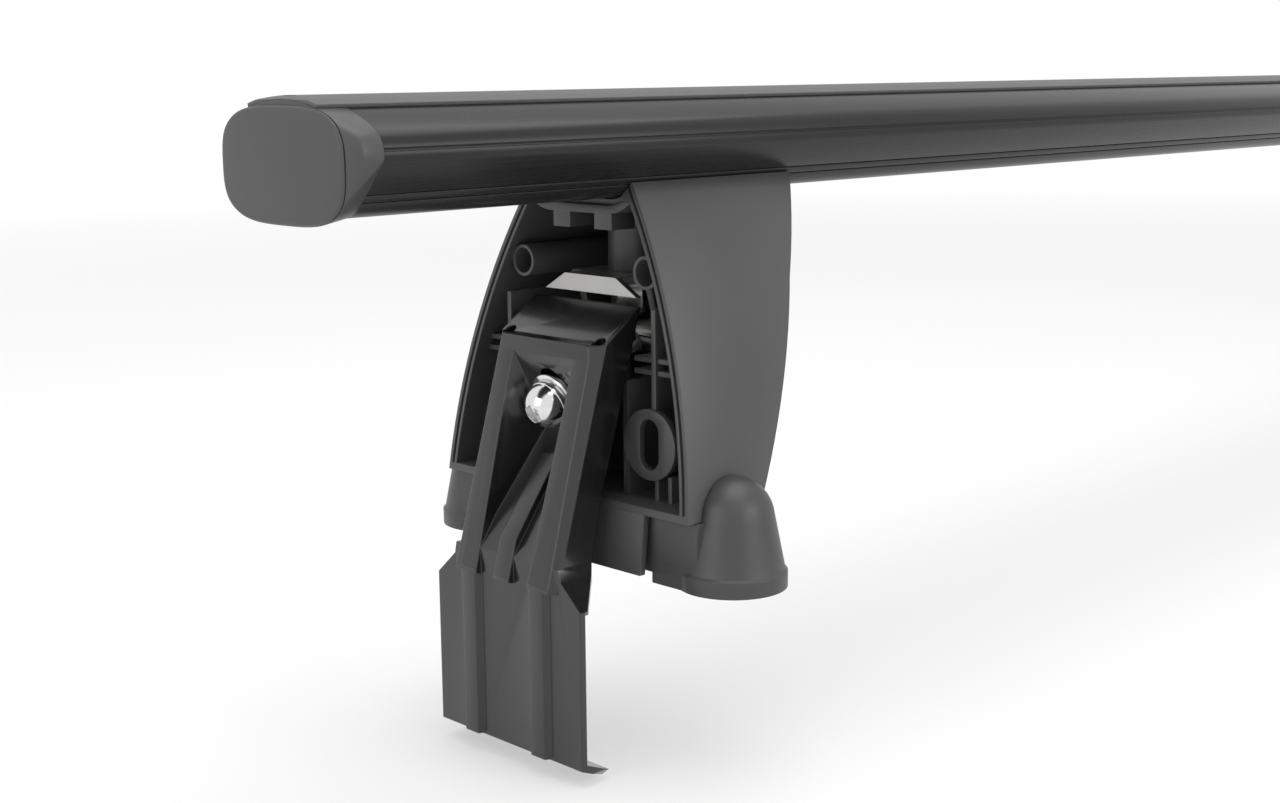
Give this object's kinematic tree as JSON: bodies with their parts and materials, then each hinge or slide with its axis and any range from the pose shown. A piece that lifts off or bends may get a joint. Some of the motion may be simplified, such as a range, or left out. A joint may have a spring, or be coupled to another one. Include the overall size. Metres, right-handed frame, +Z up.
{
  "type": "roof rack crossbar",
  "caption": "Wing-section roof bar on clamping feet: rubber roof pads, hooked clamps drawn in by domed bolts, ribbed open housings and a rubber strip along the crown.",
  "frame": {"origin": "middle of the bar's length and width, at the height of the pads' undersides on the roof", "axes": "+X along the bar, across the car; +Y along the car; +Z up"},
  "size_m": [1.2, 0.1324, 0.1871],
  "materials": {
    "bar_aluminium": "dark anodised, satin, with fine marks of the extrusion along its length",
    "strip_rubber": "soft dark rubber with a dull sheen",
    "cap_plastic": "dark moulded plastic with a fine grain",
    "housing_plastic": "dark satin moulded plastic",
    "pad_rubber": "soft dark rubber",
    "bracket_steel": "grey plated steel sheet",
    "zinc_steel": "bright zinc-plated steel",
    "clamp_coat": "glossy black coat on pressed steel",
    "bolt_chrome": "bright polished steel"
  },
  "bodies": {
    "rack": {"bar": "bar_aluminium", "top_strip": "strip_rubber", "near_end_cap": "cap_plastic", "far_end_cap": "cap_plastic"},
    "near_foot": {"near_housing": "housing_plastic", "near_pad": "pad_rubber", "near_saddle": "pad_rubber", "near_bracket": "bracket_steel", "near_barrel_nut": "zinc_steel", "near_slot_bolt": "zinc_steel", "near_slot_washer": "zinc_steel", "near_slot_nut": "zinc_steel"},
    "near_clamp": {"near_clamp": "clamp_coat", "near_clamp_washer": "bolt_chrome"},
    "near_bolt": {"near_clamp_bolt": "bolt_chrome"},
    "far_foot": {"far_housing": "housing_plastic", "far_pad": "pad_rubber", "far_saddle": "pad_rubber", "far_bracket": "bracket_steel", "far_barrel_nut": "zinc_steel", "far_slot_bolt": "zinc_steel", "far_slot_washer": "zinc_steel", "far_slot_nut": "zinc_steel"},
    "far_clamp": {"far_clamp": "clamp_coat", "far_clamp_washer": "bolt_chrome"},
    "far_bolt": {"far_clamp_bolt": "bolt_chrome"}
  },
  "joints": [
    {"name": "near_foot_slide", "type": "slide", "parent": "rack", "child": "near_foot", "axis": [1, 0, 0], "range_m": [-0.05, 0.1]},
    {"name": "near_clamp_slide", "type": "slide", "parent": "near_foot", "child": "near_clamp", "axis": [0.9336, 0, 0.3584], "range_m": [-0.012, 0.002]},
    {"name": "near_bolt_turn", "type": "hinge", "parent": "near_clamp", "child": "near_bolt", "pos_m": [-0.5117, 0, 0.0479], "axis": [0.9336, 0, 0.3584], "range_deg": [-3460, 580]},
    {"name": "far_foot_slide", "type": "slide", "parent": "rack", "child": "far_foot", "axis": [-1, 0, 0], "range_m": [-0.05, 0.1]},
    {"name": "far_clamp_slide", "type": "slide", "parent": "far_foot", "child": "far_clamp", "axis": [-0.9336, 0, 0.3584], "range_m": [-0.012, 0.002]},
    {"name": "far_bolt_turn", "type": "hinge", "parent": "far_clamp", "child": "far_bolt", "pos_m": [0.5117, 0, 0.0479], "axis": [-0.9336, 0, 0.3584], "range_deg": [-3460, 580]}
  ],
  "couplings": [
    {"joint": "near_bolt_turn", "follows": "near_clamp_slide", "rad_per_m": 5026.5},
    {"joint": "far_bolt_turn", "follows": "far_clamp_slide", "rad_per_m": 5026.5}
  ]
}
